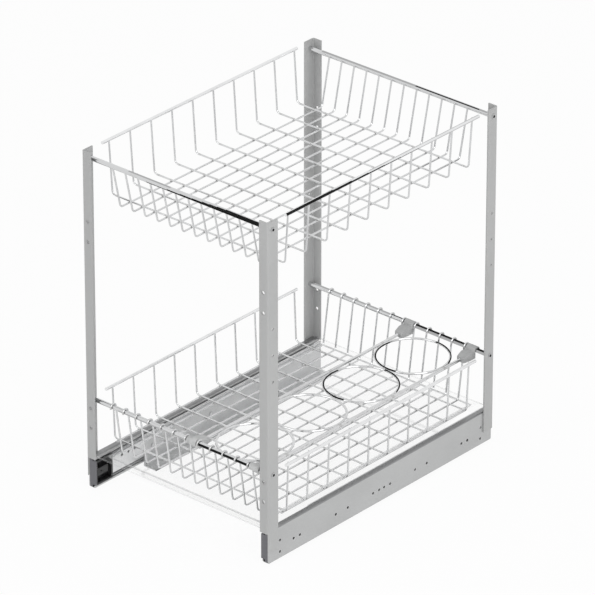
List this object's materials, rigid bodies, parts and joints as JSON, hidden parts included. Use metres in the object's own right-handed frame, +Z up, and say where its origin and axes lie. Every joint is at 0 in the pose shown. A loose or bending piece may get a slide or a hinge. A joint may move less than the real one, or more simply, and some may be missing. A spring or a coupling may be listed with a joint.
{
  "type": "pull out cabinet basket",
  "caption": "Pull-out for a kitchen cabinet: a post frame on ball-bearing floor slides with a wire basket, a lift-out basket with a bottle rack, and a drip tray.",
  "frame": {"origin": "on the cabinet floor, under the middle of the unit pushed in", "axes": "+Z up; -Y towards the front that is pulled; +X to the right seen from the front"},
  "size_m": [0.355, 0.5, 0.549],
  "materials": {
    "painted_posts": "satin light grey powder coat",
    "zinc_slides": "zinc-plated sheet",
    "dark_slides": "dark zinc-plated sheet",
    "steel_balls": "polished bearing steel",
    "black_stops": "moulded black",
    "chrome_rods": "bright chrome",
    "chrome_wires": "bright chrome wire",
    "zinc_screws": "zinc-plated screws with a hexagon socket",
    "grey_clips": "moulded grey",
    "clear_tray": "clear glossy vacuum-formed sheet"
  },
  "bodies": {
    "cabinet_mount": {"inner_rail_left": "zinc_slides", "inner_rail_right": "zinc_slides", "floor_bracket_left": "zinc_slides", "floor_bracket_right": "zinc_slides", "bracket_rivets": "zinc_slides"},
    "pull_out_frame": {"post_front_left": "painted_posts", "post_front_right": "painted_posts", "post_back_left": "painted_posts", "post_back_right": "painted_posts", "outer_rail_left": "zinc_slides", "outer_rail_right": "zinc_slides", "front_stop_left": "black_stops", "front_stop_right": "black_stops", "upper_front_rod": "chrome_rods", "upper_back_rod": "chrome_rods", "lower_front_rod": "chrome_rods", "lower_back_rod": "chrome_rods", "rod_screws": "zinc_screws", "upper_basket_rims": "chrome_wires", "upper_basket_cross_wires": "chrome_wires", "upper_basket_long_wires": "chrome_wires", "drip_tray": "clear_tray"},
    "middle_left": {"middle_rail_left": "dark_slides"},
    "middle_right": {"middle_rail_right": "dark_slides"},
    "outer_cage_set_left": {"outer_cage_left": "dark_slides", "outer_balls_left": "steel_balls"},
    "outer_cage_set_right": {"outer_cage_right": "dark_slides", "outer_balls_right": "steel_balls"},
    "inner_cage_set_left": {"inner_cage_left": "dark_slides", "inner_balls_left": "steel_balls"},
    "inner_cage_set_right": {"inner_cage_right": "dark_slides", "inner_balls_right": "steel_balls"},
    "lower_basket": {"lower_basket_rims": "chrome_wires", "lower_basket_cross_wires": "chrome_wires", "lower_basket_long_wires": "chrome_wires", "lower_basket_edge_wires": "chrome_wires"},
    "bottle_rack": {"rack_rails": "chrome_wires", "rack_rings": "chrome_wires", "rack_clips": "grey_clips"}
  },
  "joints": [
    {"name": "pull_out", "type": "slide", "parent": "cabinet_mount", "child": "pull_out_frame", "axis": [0, -1, 0], "range_m": [0, 0.5]},
    {"name": "middle_left_run", "type": "slide", "parent": "cabinet_mount", "child": "middle_left", "axis": [0, -1, 0], "range_m": [0, 0.25]},
    {"name": "middle_right_run", "type": "slide", "parent": "cabinet_mount", "child": "middle_right", "axis": [0, -1, 0], "range_m": [0, 0.25]},
    {"name": "outer_cage_left_run", "type": "slide", "parent": "cabinet_mount", "child": "outer_cage_set_left", "axis": [0, -1, 0], "range_m": [0, 0.375]},
    {"name": "outer_cage_right_run", "type": "slide", "parent": "cabinet_mount", "child": "outer_cage_set_right", "axis": [0, -1, 0], "range_m": [0, 0.375]},
    {"name": "inner_cage_left_run", "type": "slide", "parent": "cabinet_mount", "child": "inner_cage_set_left", "axis": [0, -1, 0], "range_m": [0, 0.125]},
    {"name": "inner_cage_right_run", "type": "slide", "parent": "cabinet_mount", "child": "inner_cage_set_right", "axis": [0, -1, 0], "range_m": [0, 0.125]},
    {"name": "lower_basket_lift", "type": "slide", "parent": "pull_out_frame", "child": "lower_basket", "axis": [0, 0, 1], "range_m": [0, 0.1]},
    {"name": "rack_lift", "type": "slide", "parent": "lower_basket", "child": "bottle_rack", "axis": [0, 0, 1], "range_m": [0, 0.1]}
  ],
  "couplings": [
    {"joint": "middle_left_run", "follows": "pull_out", "ratio": 0.5},
    {"joint": "middle_right_run", "follows": "pull_out", "ratio": 0.5},
    {"joint": "outer_cage_left_run", "follows": "pull_out", "ratio": 0.75},
    {"joint": "outer_cage_right_run", "follows": "pull_out", "ratio": 0.75},
    {"joint": "inner_cage_left_run", "follows": "pull_out", "ratio": 0.25},
    {"joint": "inner_cage_right_run", "follows": "pull_out", "ratio": 0.25}
  ]
}
